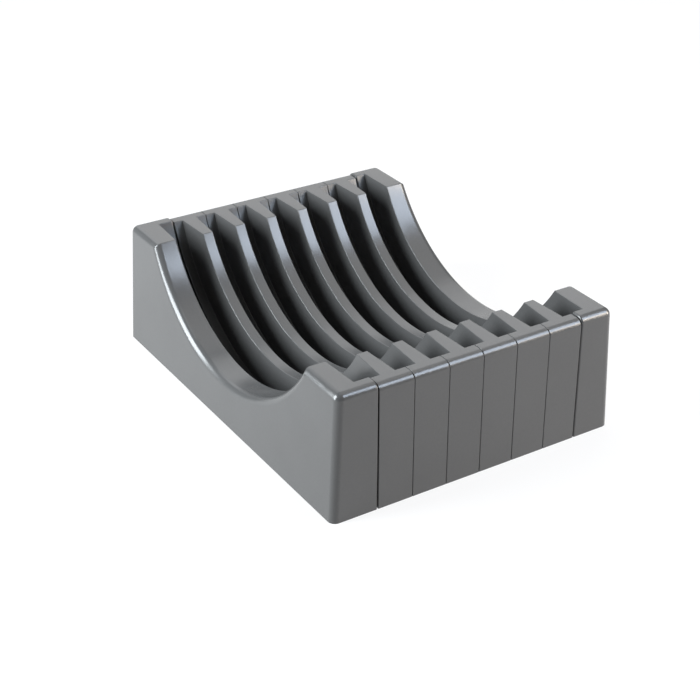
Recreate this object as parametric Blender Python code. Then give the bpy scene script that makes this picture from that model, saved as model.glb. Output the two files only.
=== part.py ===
"""Modular plate rack for a kitchen drawer.

Eight moulded shells stand side by side along X: a left end, six equal middle modules and a right
end. Together they form a concave saddle with seven slots that hold plates on edge. Every shell is
open underneath. Dovetail tongues on each right-hand wall slide up into slots in the next shell's
left-hand wall.

Frame: +Z up, Y along the slots, origin at the centre of the base. Units are metres.
"""

from math import acos, cos, sin

import bmesh
import bpy

# Driving dimensions
PITCH = 0.030  # width of a middle module, seam to seam
MIDDLE_COUNT = 6
HEIGHT = 0.1017  # of a middle module
END_RISE = 0.0015  # how far the end modules stand above the middle ones, all along the crest
BASE_DEPTH = 0.3255  # front to back at the base
TOP_DEPTH = 0.3213  # front to back at a middle module's top, less by the draft of both faces
WALL = 0.0024  # thickness of every shell wall
EDGE_ROUND = 0.006  # radius of the outer edges
SEAM_GAP = 0.0003  # between two middle modules
END_SEAM_GAP = 0.0008  # between an end module and its neighbour

# The saddle: crests and slot floors are arcs about one axis along X
AXIS_Z = 0.1682
CREST_RADIUS = 0.1335
FLOOR_RADIUS = 0.1625
ARC_STEPS = 30

# A fin tapers from its foot at the slot floor to its crest
FIN_CREST_HALF = 0.00447
FIN_FOOT_HALF = 0.0065

# End modules, measured from the seam to the next module
LEFT_END = {"crest": 0.0149, "foot": 0.0132, "outer": 0.0336}
RIGHT_END = {"crest": 0.0105, "foot": 0.0097, "outer": 0.0300}
END_DRAFT = 0.0051  # how far an outer side face leans out from top to base

# Dovetail joint between neighbours
TONGUE_Y = 0.148
TONGUE_ROOT = 0.006
TONGUE_TIP = 0.0084
TONGUE_HEIGHT = 0.060
JOINT_CLEARANCE = 0.0003

PLASTIC = {"color": (0.15, 0.155, 0.16, 1.0), "roughness": 0.42}

LEFT, RIGHT = -1, 1


def clear_scene():
    for obj in list(bpy.data.objects):
        bpy.data.objects.remove(obj)


def plastic(name):
    material = bpy.data.materials.new(name)
    material.use_nodes = True
    shader = material.node_tree.nodes["Principled BSDF"]
    shader.inputs["Base Color"].default_value = PLASTIC["color"]
    shader.inputs["Roughness"].default_value = PLASTIC["roughness"]
    shader.inputs["Metallic"].default_value = 0.0
    return material


def slot_side(sign, crest, foot, seam):
    """A module's side that bounds a slot: a tapered fin side, the slot floor and the seam wall."""
    return {"kind": "slot", "sign": sign, "crest": crest, "foot": foot, "seam": seam}


def outer_side(sign, top):
    """An end module's outer side, which leans out by the draft towards the base."""
    return {"kind": "outer", "sign": sign, "top": top}


def outer_x(side, z, inset):
    lean = END_DRAFT * (1 - z / (HEIGHT + END_RISE))
    return side["top"] + side["sign"] * (lean - inset)


def face_y(z, inset):
    """Distance of the drafted front or back face from the middle, at height z."""
    return BASE_DEPTH / 2 - (BASE_DEPTH - TOP_DEPTH) / 2 * z / HEIGHT - inset


def arc_rows(bm, x_at, radius, top):
    """Vertices along an arc of the saddle, from the front top edge to the back one."""
    reach = acos((AXIS_Z - top) / radius)
    row = []
    for step in range(ARC_STEPS + 1):
        angle = reach * (2 * step / ARC_STEPS - 1)
        z = AXIS_Z - radius * cos(angle)
        row.append(bm.verts.new((x_at(z), radius * sin(angle), z)))
    return row


def strip(bm, row_a, row_b):
    for a, b, next_b, next_a in zip(row_a, row_b, row_b[1:], row_a[1:]):
        bm.faces.new((a, b, next_b, next_a))


def skin_side(bm, side, inset, top, crest):
    """The arc rows of one side, from the crest edge outwards, and the side's four corners."""
    sign = side["sign"]
    if side["kind"] == "slot":
        rows = [
            arc_rows(bm, lambda z: side["crest"] - sign * inset, crest, top),
            arc_rows(bm, lambda z: side["foot"] - sign * inset, FLOOR_RADIUS + inset, top),
            arc_rows(bm, lambda z: side["seam"] - sign * inset, FLOOR_RADIUS + inset, top),
        ]
        top_x = base_x = side["seam"] - sign * inset
    else:
        rows = [arc_rows(bm, lambda z: outer_x(side, z, inset), crest, top)]
        top_x, base_x = outer_x(side, top, inset), outer_x(side, 0, inset)
    for row_a, row_b in zip(rows, rows[1:]):
        strip(bm, row_a, row_b)
    tops = [bm.verts.new((top_x, end * face_y(top, inset), top)) for end in (-1, 1)]
    bases = [bm.verts.new((base_x, end * face_y(0, inset), 0)) for end in (-1, 1)]
    bm.faces.new((bases[0], tops[0], *rows[-1], tops[1], bases[1]))
    return rows, tops, bases


def skin(bm, sides, inset, rise):
    """One skin of a shell, open underneath. Returns its base corners in order round the base."""
    top = HEIGHT + rise - inset
    crest = CREST_RADIUS - rise + inset
    (left_rows, left_tops, left_bases), (right_rows, right_tops, right_bases) = (
        skin_side(bm, side, inset, top, crest) for side in sides
    )
    strip(bm, left_rows[0], right_rows[0])
    for end in (0, 1):
        step = end * ARC_STEPS
        left = [row[step] for row in left_rows]
        right = [row[step] for row in right_rows]
        bm.faces.new((*reversed(left), *right, right_tops[end], left_tops[end]))
        bm.faces.new((left_tops[end], right_tops[end], right_bases[end], left_bases[end]))
    round_edges(bm, sides, (left_tops, right_tops), (left_bases, right_bases), inset)
    return left_bases[0], right_bases[0], right_bases[1], left_bases[1]


def round_edges(bm, sides, tops, bases, inset):
    """Marks the outer edges that are rounded, with a smaller radius on the inner skin."""
    weight = bm.edges.layers.float.get("bevel_weight_edge")
    amount = (EDGE_ROUND - inset) / EDGE_ROUND
    for end in (0, 1):
        bm.edges.get((tops[0][end], tops[1][end]))[weight] = amount
    for side, side_tops, side_bases in zip(sides, tops, bases):
        if side["kind"] == "slot":
            continue
        for end in (0, 1):
            bm.edges.get((side_tops[end], side_bases[end]))[weight] = amount
        wall = next(f for f in side_tops[0].link_faces if {*side_tops, *side_bases} <= {*f.verts})
        for edge in wall.edges:
            if not any(vert in side_bases for vert in edge.verts):
                edge[weight] = amount


def shell(name, sides, rise):
    """A moulded shell between two sides: outer skin, inner skin and the rim that joins them."""
    bm = bmesh.new()
    bm.edges.layers.float.new("bevel_weight_edge")
    outer = skin(bm, sides, 0, rise)
    inner = skin(bm, sides, WALL, rise)
    for corner in range(4):
        after = (corner + 1) % 4
        bm.faces.new((outer[corner], outer[after], inner[after], inner[corner]))
    bmesh.ops.recalc_face_normals(bm, faces=bm.faces[:])
    obj = add_object(name, bm)
    bevel = obj.modifiers.new("rounded edges", "BEVEL")
    bevel.limit_method = "WEIGHT"
    bevel.width = EDGE_ROUND
    bevel.segments = 3
    return obj


def add_object(name, bm):
    mesh = bpy.data.meshes.new(name)
    bm.to_mesh(mesh)
    bm.free()
    obj = bpy.data.objects.new(name, mesh)
    bpy.context.scene.collection.objects.link(obj)
    return obj


def dovetails(name, start_x, end_x, spare, bottom):
    """A pair of dovetail prisms, front and back, that widen from start_x to end_x."""
    bm = bmesh.new()
    top = TONGUE_HEIGHT + spare
    for y in (-TONGUE_Y, TONGUE_Y):
        slope = (TONGUE_TIP - TONGUE_ROOT) / 2 / (WALL + SEAM_GAP)
        near = TONGUE_ROOT / 2 + spare
        far = near + slope * (end_x - start_x)
        outline = ((start_x, y - near), (end_x, y - far), (end_x, y + far), (start_x, y + near))
        base = bm.faces.new([bm.verts.new((px, py, bottom)) for px, py in outline])
        lifted = bmesh.ops.extrude_face_region(bm, geom=[base])["geom"]
        verts = [part for part in lifted if isinstance(part, bmesh.types.BMVert)]
        bmesh.ops.translate(bm, verts=verts, vec=(0, 0, top - bottom))
    bmesh.ops.recalc_face_normals(bm, faces=bm.faces[:])
    obj = add_object(name, bm)
    obj.hide_render = True
    obj.display_type = "WIRE"
    return obj


def combine(obj, tool, operation):
    modifier = obj.modifiers.new(operation.lower(), "BOOLEAN")
    modifier.operation = operation
    modifier.object = tool


def add_tongues(obj, wall_x, gap):
    """Tongues that start inside the right-hand wall and fill the next shell's wall slots."""
    reach = wall_x + gap + WALL
    tool = dovetails(obj.name + "_tongues", wall_x - WALL / 2, reach, 0, 0)
    combine(obj, tool, "UNION")


def cut_slots(obj, wall_x, gap):
    """Open-ended slots through the left-hand wall, clear of the neighbour's tongues all round."""
    start = wall_x - gap - WALL / 2
    tool = dovetails(obj.name + "_slots", start, wall_x + 2 * WALL, JOINT_CLEARANCE, -WALL)
    combine(obj, tool, "DIFFERENCE")


def middle_module(number, centre, left_gap, right_gap):
    left_x = centre - PITCH / 2 + left_gap / 2
    right_x = centre + PITCH / 2 - right_gap / 2
    sides = (
        slot_side(LEFT, centre - FIN_CREST_HALF, centre - FIN_FOOT_HALF, left_x),
        slot_side(RIGHT, centre + FIN_CREST_HALF, centre + FIN_FOOT_HALF, right_x),
    )
    obj = shell(f"middle_module_{number}", sides, 0)
    cut_slots(obj, left_x, left_gap)
    add_tongues(obj, right_x, right_gap)
    return obj


def end_module(name, seam, inward, size):
    """An end block whose slot side faces inward, with its seam at the given place."""
    wall_x = seam - inward * END_SEAM_GAP / 2
    slot = slot_side(inward, seam - inward * size["crest"], seam - inward * size["foot"], wall_x)
    outer = outer_side(-inward, seam - inward * size["outer"])
    obj = shell(name, (outer, slot) if inward == RIGHT else (slot, outer), END_RISE)
    if inward == RIGHT:
        add_tongues(obj, wall_x, END_SEAM_GAP)
    else:
        cut_slots(obj, wall_x, END_SEAM_GAP)
    return obj


def build():
    clear_scene()
    middle_width = MIDDLE_COUNT * PITCH
    width = LEFT_END["outer"] + middle_width + RIGHT_END["outer"] + 2 * END_DRAFT
    first_seam = -width / 2 + END_DRAFT + LEFT_END["outer"]
    modules = [end_module("left_end_module", first_seam, RIGHT, LEFT_END)]
    for number in range(1, MIDDLE_COUNT + 1):
        left_gap = END_SEAM_GAP if number == 1 else SEAM_GAP
        right_gap = END_SEAM_GAP if number == MIDDLE_COUNT else SEAM_GAP
        centre = first_seam + (number - 0.5) * PITCH
        modules.append(middle_module(number, centre, left_gap, right_gap))
    last_seam = first_seam + middle_width
    modules.append(end_module("right_end_module", last_seam, LEFT, RIGHT_END))
    for module in modules:
        module.data.materials.append(plastic(module.name + "_plastic"))
        module.data.shade_smooth()
        module.data.set_sharp_from_angle(angle=0.5)


build()
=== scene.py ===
from math import acos, atan, cos, pi, radians, sin

import bmesh
import bpy
from mathutils import Matrix, Vector


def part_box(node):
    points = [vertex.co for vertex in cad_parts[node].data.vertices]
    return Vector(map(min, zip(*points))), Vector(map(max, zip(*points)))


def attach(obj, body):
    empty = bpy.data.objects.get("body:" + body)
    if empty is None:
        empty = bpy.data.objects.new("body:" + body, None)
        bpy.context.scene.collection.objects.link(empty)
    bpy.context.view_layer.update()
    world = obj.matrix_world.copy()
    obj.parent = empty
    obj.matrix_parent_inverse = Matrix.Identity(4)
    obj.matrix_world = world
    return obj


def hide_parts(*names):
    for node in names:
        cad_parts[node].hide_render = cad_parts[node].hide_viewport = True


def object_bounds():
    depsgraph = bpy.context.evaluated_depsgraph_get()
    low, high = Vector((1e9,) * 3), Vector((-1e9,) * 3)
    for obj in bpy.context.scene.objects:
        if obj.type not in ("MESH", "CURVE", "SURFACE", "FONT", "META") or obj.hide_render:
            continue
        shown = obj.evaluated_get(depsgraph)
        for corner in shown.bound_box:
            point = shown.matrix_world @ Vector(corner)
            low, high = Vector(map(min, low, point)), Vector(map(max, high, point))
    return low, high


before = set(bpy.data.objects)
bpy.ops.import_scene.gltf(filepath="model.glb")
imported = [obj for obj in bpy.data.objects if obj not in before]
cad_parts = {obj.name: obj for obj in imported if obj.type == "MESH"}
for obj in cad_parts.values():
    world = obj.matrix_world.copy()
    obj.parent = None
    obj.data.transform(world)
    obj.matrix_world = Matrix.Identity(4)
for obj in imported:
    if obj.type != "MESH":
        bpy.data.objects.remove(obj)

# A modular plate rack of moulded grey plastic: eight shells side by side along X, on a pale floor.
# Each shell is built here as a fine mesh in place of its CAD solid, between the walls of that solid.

CAD_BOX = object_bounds()

MODULES = ["left_end_module"]
MODULES += [f"middle_module_{number}" for number in range(1, 7)]
MODULES += ["right_end_module"]
LAST = len(MODULES) - 1
ENDS = (0, LAST)

# ---------------------------------------------------------------- sizes, in metres

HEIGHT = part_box("middle_module_1")[1].z
END_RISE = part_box("left_end_module")[1].z - HEIGHT
BASE_DEPTH = CAD_BOX[1][1] - CAD_BOX[0][1]
FACE_SLOPE = 0.0021 / HEIGHT  # draft of the front and back faces
WALL = 0.0024
SEAM_GAP = 0.0003
END_SEAM_GAP = 0.0008

AXIS_Z = 0.1682  # height of the saddle's axis, which runs along X
CREST_RADIUS = 0.1335
FLOOR_RADIUS = 0.1625
FIN_CREST_HALF = 0.00447
FIN_FOOT_HALF = 0.0065
END_CREST = (0.0149, 0.0105)  # seam to crest edge, left and right end modules
END_FOOT = (0.0132, 0.0097)  # seam to the foot at the slot floor
END_DRAFT = 0.0051  # how far an outer side face leans out from top to base

TOP_ROUND = 0.0060  # along the front and back top edges
SIDE_ROUND = 0.0058  # round an end module's outer face
WALL_ROUND = 0.0004  # a middle module's edges at its seams
EDGE_ROUND = 0.0005  # every other outer edge
SEAM_ROUND = 0.0011  # the end modules' edges at their seams

TONGUE_Y = 0.148  # a dovetail's distance from the middle, to the front and to the back
TONGUE_ROOT = 0.006  # its width at the wall, then at its tip
TONGUE_TIP = 0.0084
TONGUE_HEIGHT = 0.060
CLEARANCE = 0.0003  # round a tongue in its slot

ARC_STEPS = 96
ROUND_STEPS = 8
INNER_ARC_STEPS = 48
INNER_ROUND_STEPS = 3
ROUNDING_STEPS = 3
SHARP = radians(28)
TOUCHING = 1e-6


def gap_before(index):
    """The seam gap on the left of a module."""
    return END_SEAM_GAP if index in (1, LAST) else SEAM_GAP


def wall_left(index):
    """X of a module's left wall, which is its lowest X on every module but the left end."""
    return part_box(MODULES[index])[0].x


def wall_right(index):
    return wall_left(index + 1) - gap_before(index + 1)


def seam(index):
    """X of the seam on the left of a module, in the middle of its gap."""
    return wall_left(index) - gap_before(index) / 2


# ---------------------------------------------------------------- shell surfaces


class Skin:
    """One skin of a shell: the outer one, or the inner one a wall thickness inside it."""

    def __init__(self, inset, rise):
        self.inset = inset
        self.top = HEIGHT + rise - inset
        self.crest = CREST_RADIUS - rise + inset
        self.floor = FLOOR_RADIUS + inset
        self.top_round = TOP_ROUND - inset
        self.side_round = SIDE_ROUND - inset
        self.arc_steps = INNER_ARC_STEPS if inset else ARC_STEPS
        self.round_steps = INNER_ROUND_STEPS if inset else ROUND_STEPS

    def wall_outline(self):
        """Points and outward normals (y, z) of the front wall, from the base up round the top edge."""
        draft = atan(FACE_SLOPE)
        foot_y = -BASE_DEPTH / 2 + self.inset
        centre_z = self.top - self.top_round
        centre_y = foot_y + FACE_SLOPE * centre_z + self.top_round / cos(draft)
        outline = [((foot_y, 0.0), (-1.0, 0.0))]
        for step in range(self.round_steps + 1):
            angle = draft + (pi / 2 - draft) * step / self.round_steps
            normal = (-cos(angle), sin(angle))
            point = (centre_y + self.top_round * normal[0], centre_z + self.top_round * normal[1])
            outline.append((point, normal))
        return outline

    def arc(self, radius):
        """Points and normals towards the axis, along an arc between the two top edges."""
        reach = acos((AXIS_Z - self.top) / radius)
        points = []
        for step in range(self.arc_steps + 1):
            angle = reach * (2 * step / self.arc_steps - 1)
            point = (radius * sin(angle), AXIS_Z - radius * cos(angle))
            points.append((point, (-sin(angle), cos(angle))))
        return points


def mitred(normal_a, normal_b):
    """The direction that insets a corner between two faces, scaled so both faces move by one."""
    share = 1 + normal_a[0] * normal_b[0] + normal_a[1] * normal_b[1]
    return tuple((a + b) / share for a, b in zip(normal_a, normal_b))


def mirrored(outline):
    return [((-y, z), (-ny, nz)) for (y, z), (ny, nz) in reversed(outline)]


def strip(bm, row_a, row_b, material=0):
    for a, b, next_b, next_a in zip(row_a, row_b, row_b[1:], row_a[1:]):
        bm.faces.new((a, b, next_b, next_a)).material_index = material


class SlotSide:
    """The side of a module that bounds a slot: a tapered fin side, the slot floor, the seam wall."""

    def __init__(self, sign, crest, foot, wall):
        self.sign, self.crest, self.foot, self.wall = sign, crest, foot, wall

    def build(self, bm, skin):
        def row(x, outline):
            at = x - self.sign * skin.inset
            return [bm.verts.new((at, y, z)) for (y, z), normal in outline]

        crest = row(self.crest, skin.arc(skin.crest))
        foot = row(self.foot, skin.arc(skin.floor))
        rim = row(self.wall, skin.arc(skin.floor))
        front = row(self.wall, skin.wall_outline())
        back = row(self.wall, mirrored(skin.wall_outline()))
        strip(bm, crest, foot)
        strip(bm, foot, rim)
        bm.faces.new((*front, *rim, *back))
        return {
            "crest": crest,
            "front": front,
            "back": back,
            "top_front": [crest[0], foot[0], rim[0], front[-1]],
            "top_back": [crest[-1], foot[-1], rim[-1], back[0]],
            "base": [front[0], back[-1]],
        }


class OuterSide:
    """An end module's outer side: a drafted flat face with a round all along its outline."""

    def __init__(self, sign, top):
        self.sign, self.top = sign, top

    def face_x(self, z, skin):
        lean = END_DRAFT * (1 - z / (HEIGHT + END_RISE))
        return self.top + self.sign * (lean - skin.inset)

    def outline(self, skin):
        front, back = skin.wall_outline(), mirrored(skin.wall_outline())
        crest = skin.arc(skin.crest)
        up = (0.0, 1.0)
        crest[0] = (crest[0][0], mitred(crest[0][1], up))
        crest[-1] = (crest[-1][0], mitred(crest[-1][1], up))
        return front, crest, back

    def build(self, bm, skin):
        front, crest, back = self.outline(skin)
        outline = front + crest + back
        rings = []
        for step in range(skin.round_steps + 1):
            angle = pi / 2 * step / skin.round_steps
            inwards = skin.side_round * (1 - cos(angle))
            aside = skin.side_round * (1 - sin(angle))
            ring = []
            for (y, z), (ny, nz) in outline:
                at_y, at_z = y - ny * inwards, z - nz * inwards
                x = self.face_x(at_z, skin) - self.sign * aside
                ring.append(bm.verts.new((x, at_y, at_z)))
            rings.append(ring)
        for ring, next_ring in zip(rings, rings[1:]):
            strip(bm, ring, next_ring)
        bm.faces.new(rings[-1])
        edge = rings[0]
        first, last = len(front), len(front) + len(crest)
        crest_row = edge[first:last]
        return {
            "crest": crest_row,
            "front": edge[:first],
            "back": edge[last:],
            "top_front": [crest_row[0], edge[first - 1]],
            "top_back": [crest_row[-1], edge[last]],
            "base": [ring[0] for ring in rings] + [ring[-1] for ring in reversed(rings)],
        }


def build_skin(bm, sides, skin):
    """One skin of a shell between its two sides. Returns the loop of its base vertices."""
    left, right = (side.build(bm, skin) for side in sides)
    strip(bm, left["crest"], right["crest"], CRESTS)
    strip(bm, left["front"], right["front"])
    strip(bm, left["back"], right["back"])
    for end in ("top_front", "top_back"):
        flat = bm.faces.new((*reversed(left[end]), *right[end]))
        flat.material_index = CRESTS
    return left["base"] + right["base"][::-1]


# ---------------------------------------------------------------- modules

CRESTS = 1  # material slot of the crests and top flats; slot 0 is every other face


def sides_of(index):
    """The left and right side of a module, from the walls of its CAD solid."""
    if index == 0:
        outer = OuterSide(-1, wall_left(0) + END_DRAFT)
        at = seam(1)
        return outer, SlotSide(1, at - END_CREST[0], at - END_FOOT[0], wall_right(0))
    if index == LAST:
        at = seam(LAST)
        outer = OuterSide(1, CAD_BOX[1][0] - END_DRAFT)
        return SlotSide(-1, at + END_CREST[1], at + END_FOOT[1], wall_left(LAST)), outer
    centre = (seam(index) + seam(index + 1)) / 2
    return (
        SlotSide(-1, centre - FIN_CREST_HALF, centre - FIN_FOOT_HALF, wall_left(index)),
        SlotSide(1, centre + FIN_CREST_HALF, centre + FIN_FOOT_HALF, wall_right(index)),
    )


def mark_round_edges(bm, sides, wall_round):
    """Weights the sharp edges of the outer skin for the bevel. Those at a seam wall get wall_round."""
    weight = bm.edges.layers.float.new("bevel_weight_edge")
    walls = [side.wall for side in sides if isinstance(side, SlotSide)]
    for edge in bm.edges:
        if edge.calc_face_angle(0) > SHARP:
            at_wall = any(all(abs(v.co.x - x) < TOUCHING for v in edge.verts) for x in walls)
            edge[weight] = (wall_round if at_wall else EDGE_ROUND) / SEAM_ROUND


def close_rim(bm, outer, inner):
    """Fills the flat rim at the base between the two skins, whose loops may differ in length."""
    edges = []
    for loop in (outer, inner):
        for a, b in zip(loop, loop[1:] + loop[:1]):
            edges.append(bm.edges.get((a, b)))
    bmesh.ops.triangle_fill(bm, use_beauty=True, use_dissolve=False, edges=edges)


def shell_mesh(name, sides, rise, wall_round):
    bm = bmesh.new()
    outer = build_skin(bm, sides, Skin(0.0, rise))
    bmesh.ops.recalc_face_normals(bm, faces=bm.faces[:])
    mark_round_edges(bm, sides, wall_round)
    inner = build_skin(bm, sides, Skin(WALL, rise))
    close_rim(bm, outer, inner)
    bmesh.ops.recalc_face_normals(bm, faces=bm.faces[:])
    mesh = bpy.data.meshes.new(name)
    bm.to_mesh(mesh)
    bm.free()
    mesh.shade_smooth()
    mesh.set_sharp_from_angle(angle=SHARP)
    return mesh


def add_object(name, mesh):
    piece = bpy.data.objects.new(name, mesh)
    bpy.context.scene.collection.objects.link(piece)
    return piece


def dovetails(name, start_x, end_x, spare, bottom):
    """A pair of dovetail prisms, front and back, that widen from start_x to end_x."""
    bm = bmesh.new()
    slope = (TONGUE_TIP - TONGUE_ROOT) / 2 / (WALL + SEAM_GAP)
    near = TONGUE_ROOT / 2 + spare
    far = near + slope * (end_x - start_x)
    for y in (-TONGUE_Y, TONGUE_Y):
        outline = ((start_x, y - near), (end_x, y - far), (end_x, y + far), (start_x, y + near))
        base = bm.faces.new([bm.verts.new((px, py, bottom)) for px, py in outline])
        lifted = bmesh.ops.extrude_face_region(bm, geom=[base])["geom"]
        verts = [part for part in lifted if isinstance(part, bmesh.types.BMVert)]
        bmesh.ops.translate(bm, verts=verts, vec=(0, 0, TONGUE_HEIGHT + spare - bottom))
    bmesh.ops.recalc_face_normals(bm, faces=bm.faces[:])
    mesh = bpy.data.meshes.new(name)
    bm.to_mesh(mesh)
    bm.free()
    return add_object(name, mesh)


def apply_modifiers(piece):
    graph = bpy.context.evaluated_depsgraph_get()
    mesh = bpy.data.meshes.new_from_object(piece.evaluated_get(graph))
    piece.modifiers.clear()
    piece.data = mesh


def combine(piece, tool, operation):
    """Joins or cuts the tool and leaves no trace of it."""
    modifier = piece.modifiers.new("joint", "BOOLEAN")
    modifier.operation = operation
    modifier.object = tool
    apply_modifiers(piece)
    bpy.data.objects.remove(tool)


def module(index):
    """A finished shell: its two skins, rounded edges, dovetail slots and dovetail tongues."""
    rise, wall_round = (END_RISE, SEAM_ROUND) if index in ENDS else (0.0, WALL_ROUND)
    mesh = shell_mesh(MODULES[index] + "_shell", sides_of(index), rise, wall_round)
    piece = add_object("rack_" + MODULES[index], mesh)
    bevel = piece.modifiers.new("edges", "BEVEL")
    bevel.limit_method = "WEIGHT"
    bevel.width = SEAM_ROUND
    bevel.segments = ROUNDING_STEPS
    bevel.use_clamp_overlap = False
    apply_modifiers(piece)
    if index > 0:
        wall, gap = wall_left(index), gap_before(index)
        tool = dovetails("slots", wall - gap - WALL / 2, wall + 2 * WALL, CLEARANCE, -WALL)
        combine(piece, tool, "DIFFERENCE")
    if index < LAST:
        wall, gap = wall_right(index), gap_before(index + 1)
        combine(piece, dovetails("tongues", wall - WALL / 2, wall + gap + WALL, 0, 0), "UNION")
    normals = piece.modifiers.new("shading", "WEIGHTED_NORMAL")
    normals.keep_sharp = True
    return piece


# ---------------------------------------------------------------- materials

NOISE_LOW, NOISE_HIGH = 0.28, 0.72

# A roughness above about 0.27 leaves small light specks on the walls in the denoised render.
SMOOTH_GREYS = (0.057, 0.066)
SMOOTH_ROUGHNESS = (0.19, 0.265)
GRAINED_GREYS = (0.034, 0.094)
GRAINED_ROUGHNESS = (0.20, 0.27)


class Finish:
    """A Principled material, with short ways to add nodes to it."""

    def __init__(self, name):
        self.material = bpy.data.materials.new(name)
        self.material.use_nodes = True
        self.tree = self.material.node_tree
        self.shader = self.tree.nodes["Principled BSDF"]
        self.place = self.add("ShaderNodeTexCoord", {}).outputs["Object"]

    def feed(self, node, inputs):
        """Sets each named input to a number or colour, or links it to a socket."""
        for name, value in inputs.items():
            if isinstance(value, bpy.types.NodeSocket):
                self.tree.links.new(value, node.inputs[name])
            else:
                node.inputs[name].default_value = value

    def add(self, kind, inputs, **settings):
        node = self.tree.nodes.new(kind)
        for name, value in settings.items():
            setattr(node, name, value)
        self.feed(node, inputs)
        return node

    def noise(self, scale, detail, place=None):
        """Noise with about this many features to the metre, or to the unit of the given place."""
        inputs = {"Vector": place or self.place, "Scale": scale, "Detail": detail}
        return self.add("ShaderNodeTexNoise", inputs).outputs["Fac"]

    def math(self, operation, a, b):
        node = self.add("ShaderNodeMath", {}, operation=operation)
        for socket, value in zip(node.inputs, (a, b)):
            if isinstance(value, bpy.types.NodeSocket):
                self.tree.links.new(value, socket)
            else:
                socket.default_value = value
        return node.outputs[0]

    def spread(self, value, low, high):
        """A noise value, mostly within NOISE_LOW to NOISE_HIGH, stretched to low to high."""
        inputs = {"Value": value, "From Min": NOISE_LOW, "From Max": NOISE_HIGH}
        inputs.update({"To Min": low, "To Max": high})
        return self.add("ShaderNodeMapRange", inputs).outputs["Result"]

    def grey(self, value, dark, light):
        """A neutral grey between two levels, as the value goes from 0 to 1."""
        node = self.add("ShaderNodeValToRGB", {"Fac": value})
        for element, level in zip(node.color_ramp.elements, (dark, light)):
            element.color = (level, level, level, 1)
        return node.outputs["Color"]

    def bump(self, height, distance, under=None):
        """A bump this many metres deep, laid over another one if it is given."""
        inputs = {"Height": height, "Distance": distance}
        if under:
            inputs["Normal"] = under
        return self.add("ShaderNodeBump", inputs).outputs["Normal"]

    def along_arc(self, across, along):
        """Coordinates stretched along the saddle's arcs: X, and the angle about the saddle's axis."""
        place = self.add("ShaderNodeSeparateXYZ", {"Vector": self.place})
        drop = self.math("SUBTRACT", AXIS_Z, place.outputs["Z"])
        angle = self.math("ARCTAN2", place.outputs["Y"], drop)
        inputs = {
            "X": self.math("MULTIPLY", place.outputs["X"], across),
            "Y": self.math("MULTIPLY", angle, along),
        }
        return self.add("ShaderNodeCombineXYZ", inputs).outputs["Vector"]


def smooth_plastic():
    """Satin moulded plastic: cloudy tone, uneven gloss, a fine skin and a slow waviness."""
    finish = Finish("smooth_plastic")
    cloud = finish.noise(16, 4)
    speck = finish.noise(620, 2)
    tone = finish.math("ADD", finish.math("MULTIPLY", cloud, 0.6), finish.math("MULTIPLY", speck, 0.4))
    streak = finish.noise(1.0, 3, finish.along_arc(420, 14))
    gloss = finish.math("MULTIPLY", finish.math("ADD", streak, finish.noise(38, 4)), 0.5)
    waves = finish.bump(finish.noise(30, 2), 0.00034)
    skin = finish.bump(finish.noise(1100, 3), 0.000022, waves)
    inputs = {
        "Base Color": finish.grey(finish.spread(tone, 0, 1), *SMOOTH_GREYS),
        "Roughness": finish.spread(gloss, *SMOOTH_ROUGHNESS),
        "Normal": skin,
    }
    finish.feed(finish.shader, inputs)
    return finish.material


def grained_plastic():
    """Spark-eroded tops and crests: mottled grain over faint streaks along the arc and across it."""
    finish = Finish("grained_plastic")
    grain = finish.noise(520, 3)
    streak = finish.noise(1.0, 2, finish.along_arc(560, 26))
    hatch = finish.noise(1.0, 2, finish.along_arc(50, 150))
    lines = finish.math("MULTIPLY", finish.math("ADD", streak, hatch), 0.3)
    tone = finish.math("ADD", finish.math("MULTIPLY", grain, 0.4), lines)
    hair = finish.bump(streak, 0.00003)
    pits = finish.bump(finish.noise(1500, 3), 0.000045, finish.bump(grain, 0.000085, hair))
    inputs = {
        "Base Color": finish.grey(finish.spread(tone, 0, 1), *GRAINED_GREYS),
        "Roughness": finish.spread(grain, *GRAINED_ROUGHNESS),
        "Normal": pits,
    }
    finish.feed(finish.shader, inputs)
    return finish.material


SMOOTH_PLASTIC = smooth_plastic()
GRAINED_PLASTIC = grained_plastic()

for index, name in enumerate(MODULES):
    piece = module(index)
    piece.data.materials.clear()
    piece.data.materials.append(SMOOTH_PLASTIC)
    piece.data.materials.append(SMOOTH_PLASTIC if index in ENDS else GRAINED_PLASTIC)
    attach(piece, "root")
    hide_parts(name)

# ---------------------------------------------------------------- stage, light and camera

FLOOR_REACH = 15.0
FLOOR_GREY = 0.154
FLOOR_GLOW = 0.79  # lifts the floor to the photo's white without lighting the rack too hard
STUDIO_FILL = 0.05

floor_corners = [(x * FLOOR_REACH, y * FLOOR_REACH, 0) for x, y in ((-1, -1), (1, -1), (1, 1), (-1, 1))]
floor_mesh = bpy.data.meshes.new("floor")
floor_mesh.from_pydata(floor_corners, [], [(0, 1, 2, 3)])
floor = add_object("floor", floor_mesh)
floor_material = bpy.data.materials.new("floor")
floor_material.use_nodes = True
floor_shader = floor_material.node_tree.nodes["Principled BSDF"]
floor_shader.inputs["Base Color"].default_value = (FLOOR_GREY, FLOOR_GREY, FLOOR_GREY, 1)
floor_shader.inputs["Roughness"].default_value = 1.0
floor_shader.inputs["Specular IOR Level"].default_value = 0.0
floor_shader.inputs["Emission Color"].default_value = (1, 1, 1, 1)
floor_shader.inputs["Emission Strength"].default_value = FLOOR_GLOW
floor_mesh.materials.append(floor_material)

world = bpy.data.worlds.new("studio")
bpy.context.scene.world = world
world.use_nodes = True
background = world.node_tree.nodes["Background"]
background.inputs["Color"].default_value = (1, 1, 1, 1)
background.inputs["Strength"].default_value = STUDIO_FILL

LIGHT_CENTRE = Vector((0.0, 0.0, 0.05))
LIGHT_DISTANCE = 1.7


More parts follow.
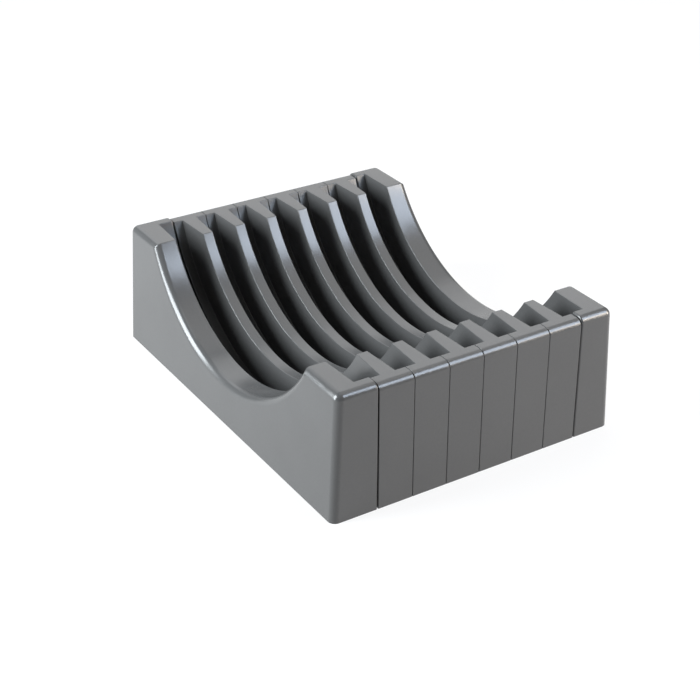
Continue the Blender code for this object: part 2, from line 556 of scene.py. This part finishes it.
def softbox(name, azimuth, elevation, size, power, color, distance=LIGHT_DISTANCE):
    """A soft light that faces the rack. Azimuth runs from -Y towards +X, in degrees."""
    data = bpy.data.lights.new(name, "AREA")
    data.shape = "RECTANGLE"
    data.size, data.size_y = size
    data.energy = power
    data.color = color
    light = add_object(name, data)
    heading, lift = radians(azimuth), radians(elevation)
    towards = Vector((sin(heading) * cos(lift), -cos(heading) * cos(lift), sin(lift)))
    light.location = LIGHT_CENTRE + distance * towards
    light.rotation_euler = towards.to_track_quat("Z", "Y").to_euler()


# Name, azimuth, elevation, width and height, power in watts, colour, distance if not the usual.
softbox("key_left", 251, 23, (0.74, 0.90), 44, (0.90, 0.96, 1.0), 1.2)
softbox("front_right", 42, 40, (0.80, 0.80), 25, (0.73, 0.84, 1.0))
softbox("low_right", 52, 17, (0.70, 0.70), 33, (1.0, 0.90, 0.79))
softbox("back_high", 158, 40, (2.0, 0.75), 8.2, (1.0, 1.0, 1.0))
softbox("back_low", 155, 16, (2.0, 0.70), 6.0, (1.0, 1.0, 1.0))
softbox("over_right", 100, 62, (1.3, 0.8), 3.8, (1.0, 0.98, 0.95))
softbox("overhead", 0, 88, (0.8, 0.8), 3, (1.0, 1.0, 1.0))

# The camera's place and axes come from a fit of the rack's shape to the photo.
CAMERA_PLACE = Vector((-0.59770, -0.90955, 0.64453))
CAMERA_RIGHT = Vector((0.84249, -0.53861, 0.01084))
CAMERA_UP = Vector((0.25835, 0.42159, 0.86920))
CAMERA_LENS = 79.42  # in millimetres, like the sensor's width
CAMERA_SENSOR = 36

camera_data = bpy.data.cameras.new("camera")
camera_data.sensor_width = CAMERA_SENSOR
camera_data.lens = CAMERA_LENS
camera = add_object("camera", camera_data)
turn = Matrix((CAMERA_RIGHT, CAMERA_UP, CAMERA_RIGHT.cross(CAMERA_UP))).transposed().to_4x4()
camera.matrix_world = Matrix.Translation(CAMERA_PLACE) @ turn
bpy.context.scene.camera = camera
bpy.context.scene.view_settings.view_transform = "Standard"
